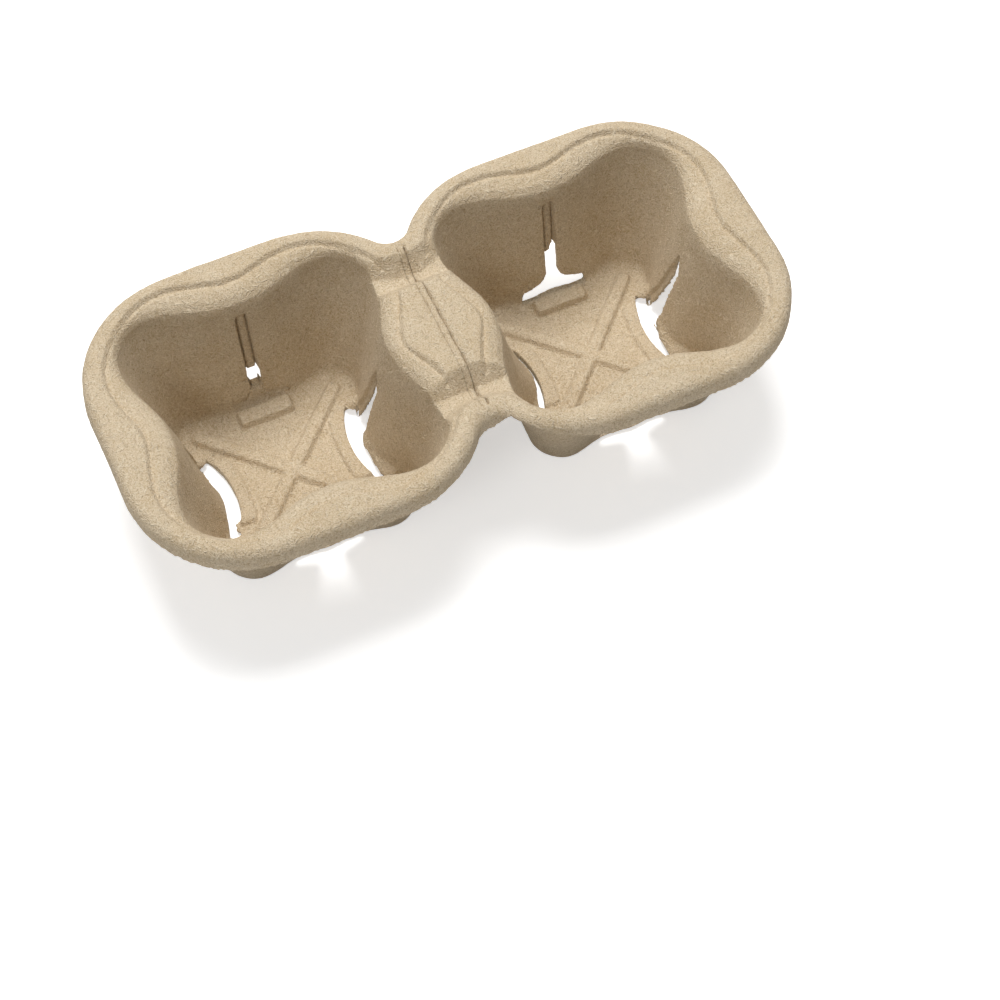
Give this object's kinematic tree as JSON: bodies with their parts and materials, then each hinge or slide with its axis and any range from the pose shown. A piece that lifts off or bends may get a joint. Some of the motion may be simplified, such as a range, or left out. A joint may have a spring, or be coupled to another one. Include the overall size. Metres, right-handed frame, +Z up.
{
  "type": "cup carrier",
  "caption": "Moulded-pulp carrier: a thin shell with deep four-lobed wells side by side under a broad rim, which grips the lower part of each take-away cup.",
  "frame": {"origin": "middle of the footprint, on the surface that the carrier stands on", "axes": "+X along the row of wells, +Y across it, +Z up out of the wells"},
  "size_m": [0.2098, 0.1036, 0.05],
  "materials": {
    "moulded_pulp": "matt, fibrous"
  },
  "bodies": {
    "root": {"cup_carrier": "moulded_pulp"}
  },
  "joints": []
}
